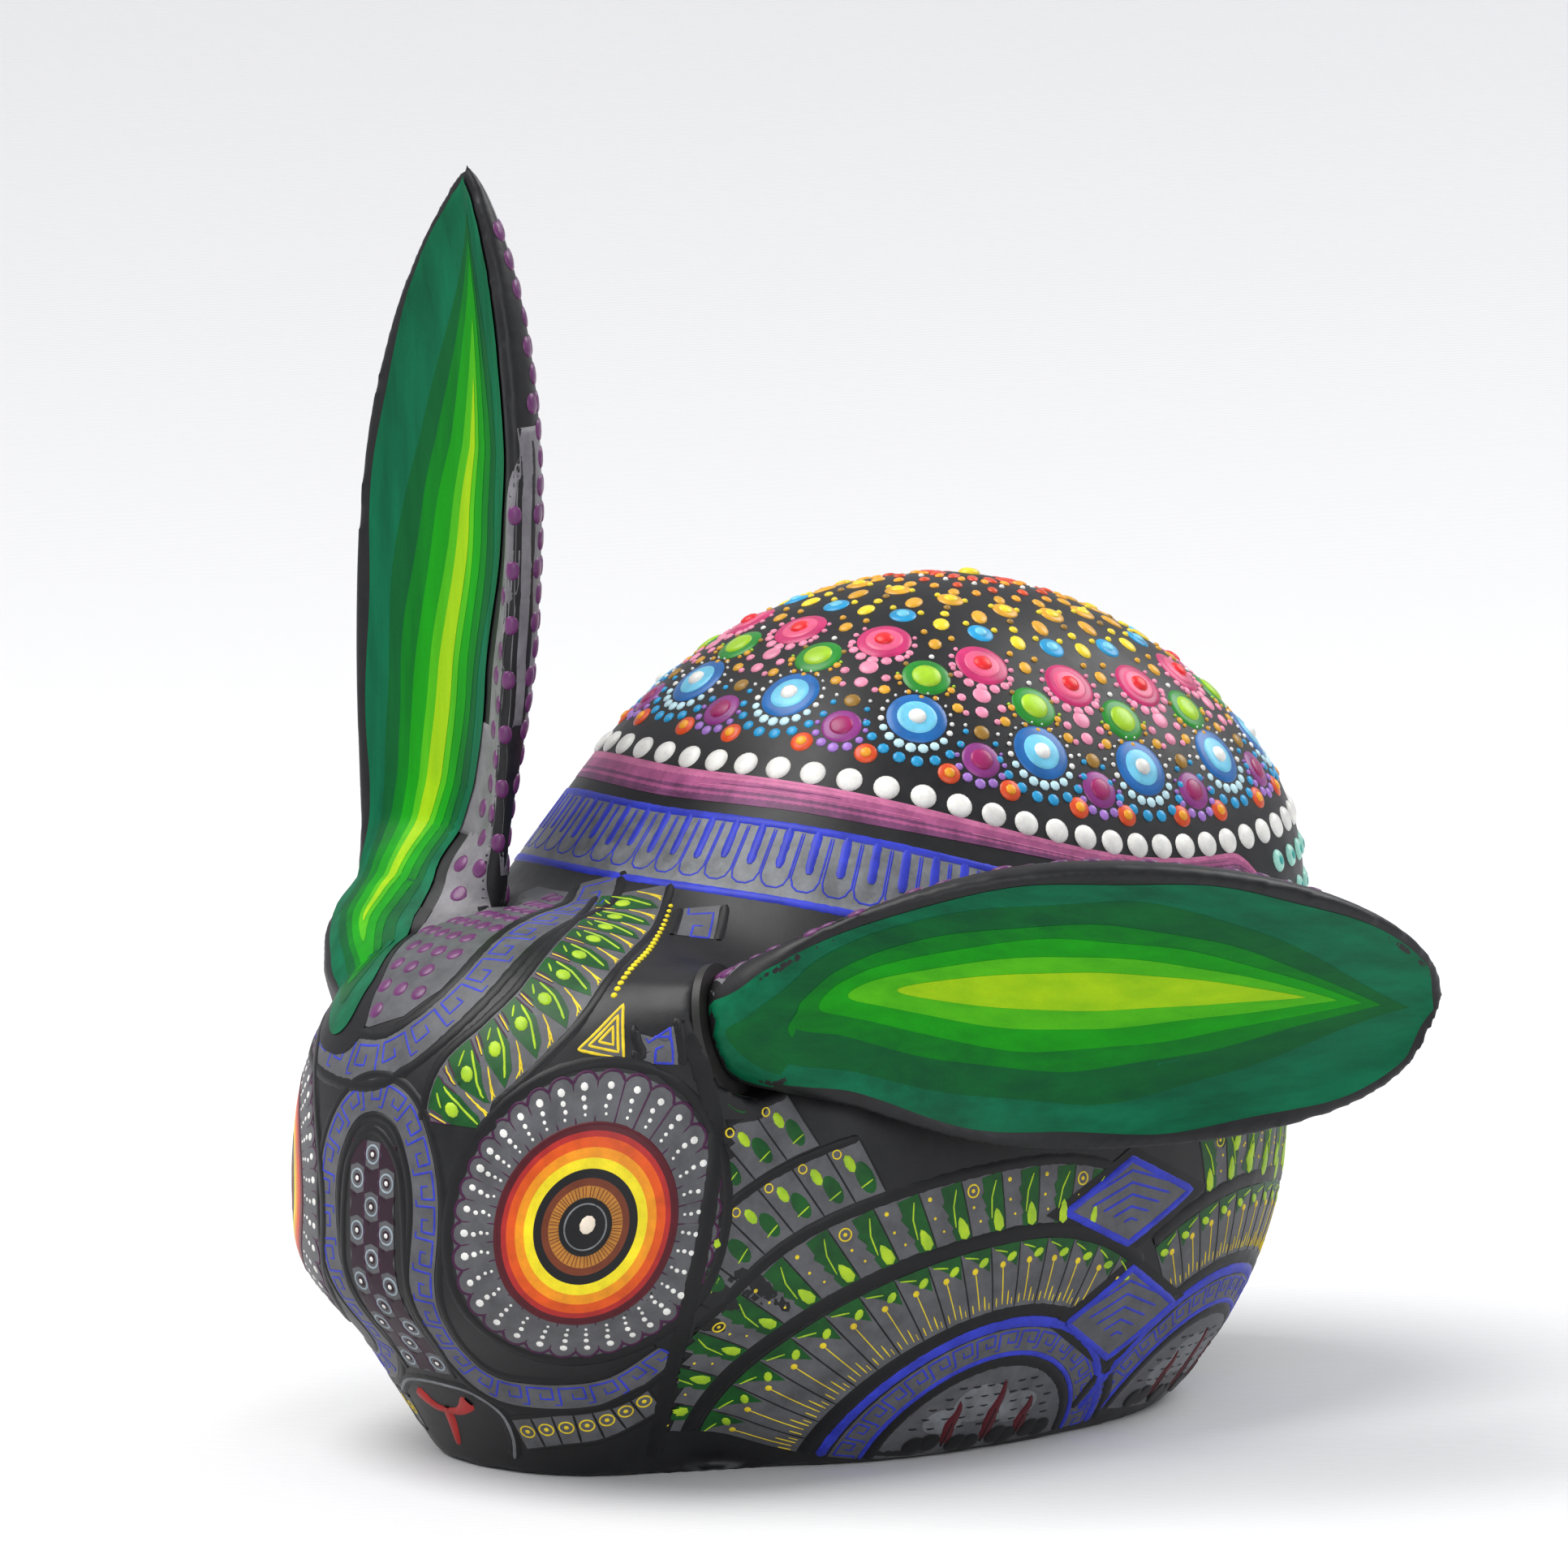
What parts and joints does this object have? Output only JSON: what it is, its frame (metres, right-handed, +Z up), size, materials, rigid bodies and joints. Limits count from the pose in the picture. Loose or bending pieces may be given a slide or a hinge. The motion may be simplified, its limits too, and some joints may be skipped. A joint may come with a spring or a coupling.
{
  "type": "alebrije figure",
  "caption": "Crouching rabbit figure in carved and painted copal wood, one ear upright, one ear laid back, with raised paint drops.",
  "frame": {"origin": "on the floor under the trunk, in the flat face that the figure rests on", "axes": "+Z up, -Y towards the nose, +X towards the rabbit's left side, where the folded ear lies"},
  "size_m": [0.0952, 0.1145, 0.125],
  "materials": {
    "painted_body": "satin acrylic over carved copal wood",
    "painted_ear": "satin acrylic over carved copal wood",
    "peg_wood": "bare turned wood",
    "filler_paste": "sawdust and glue paste, sanded and painted over",
    "purple_paint": "raised acrylic drop",
    "white_paint": "raised acrylic drop",
    "turquoise_paint": "raised acrylic drop",
    "pink_paint": "raised acrylic drop",
    "green_paint": "raised acrylic drop",
    "blue_paint": "raised acrylic drop",
    "violet_paint": "raised acrylic drop",
    "light_blue_paint": "raised acrylic drop",
    "gold_paint": "raised acrylic drop",
    "orange_paint": "raised acrylic drop",
    "red_paint": "raised acrylic drop"
  },
  "bodies": {
    "root": {"body": "painted_body", "upright_ear": "painted_ear", "folded_ear": "painted_ear", "upright_ear_peg": "peg_wood", "folded_ear_peg": "peg_wood", "upright_ear_bed": "filler_paste", "folded_ear_bed": "filler_paste", "upright_ear_dots": "purple_paint", "folded_ear_dots": "purple_paint", "border_beads": "white_paint", "turquoise_beads": "turquoise_paint", "pink_drops": "pink_paint", "green_drops": "green_paint", "blue_drops": "blue_paint", "violet_drops": "violet_paint", "small_blue_drops": "light_blue_paint", "gold_drops": "gold_paint", "orange_drops": "orange_paint", "flower_drop": "red_paint"}
  },
  "joints": []
}
